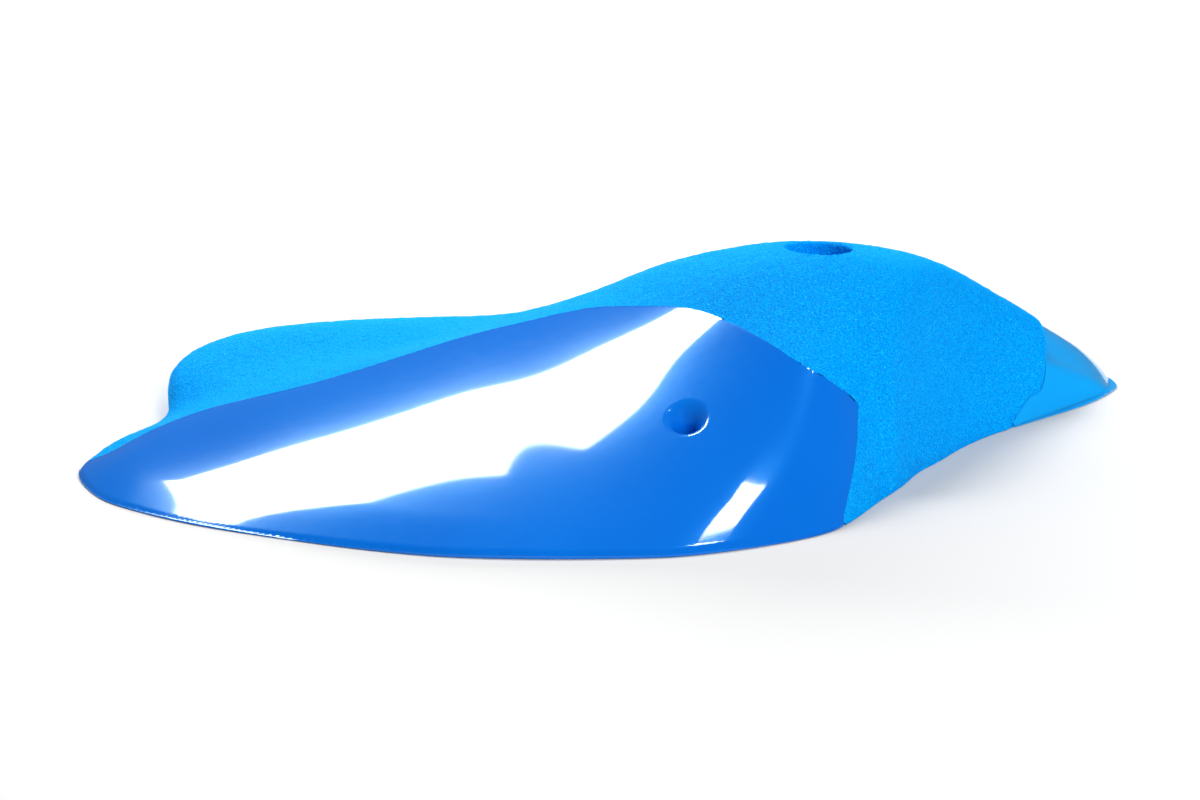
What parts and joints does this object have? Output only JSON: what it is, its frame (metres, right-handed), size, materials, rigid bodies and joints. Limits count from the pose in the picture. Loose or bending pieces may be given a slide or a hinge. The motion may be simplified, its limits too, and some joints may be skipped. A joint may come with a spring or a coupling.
{
  "type": "dual-texture climbing hold",
  "caption": "Blue cast climbing hold with a grainy crown, a glossy leaf-shaped front facet, a glossy horn, a recessed bolt hole and a set-screw hole.",
  "frame": {"origin": "centre of the bolt bore at the flat back", "axes": "+Z out of the climbing wall along the bolt, +X towards the glossy horn, +Y towards the far side from the glossy front facet"},
  "size_m": [0.3502, 0.2264, 0.0632],
  "materials": {
    "grip": "grainy cast",
    "gloss": "polished",
    "steel": "plated"
  },
  "bodies": {
    "root": {"grip_body": "grip", "bolt_boss": "grip", "front_gloss_panel": "gloss", "rear_gloss_horn": "gloss", "bolt_washer": "steel"}
  },
  "joints": []
}
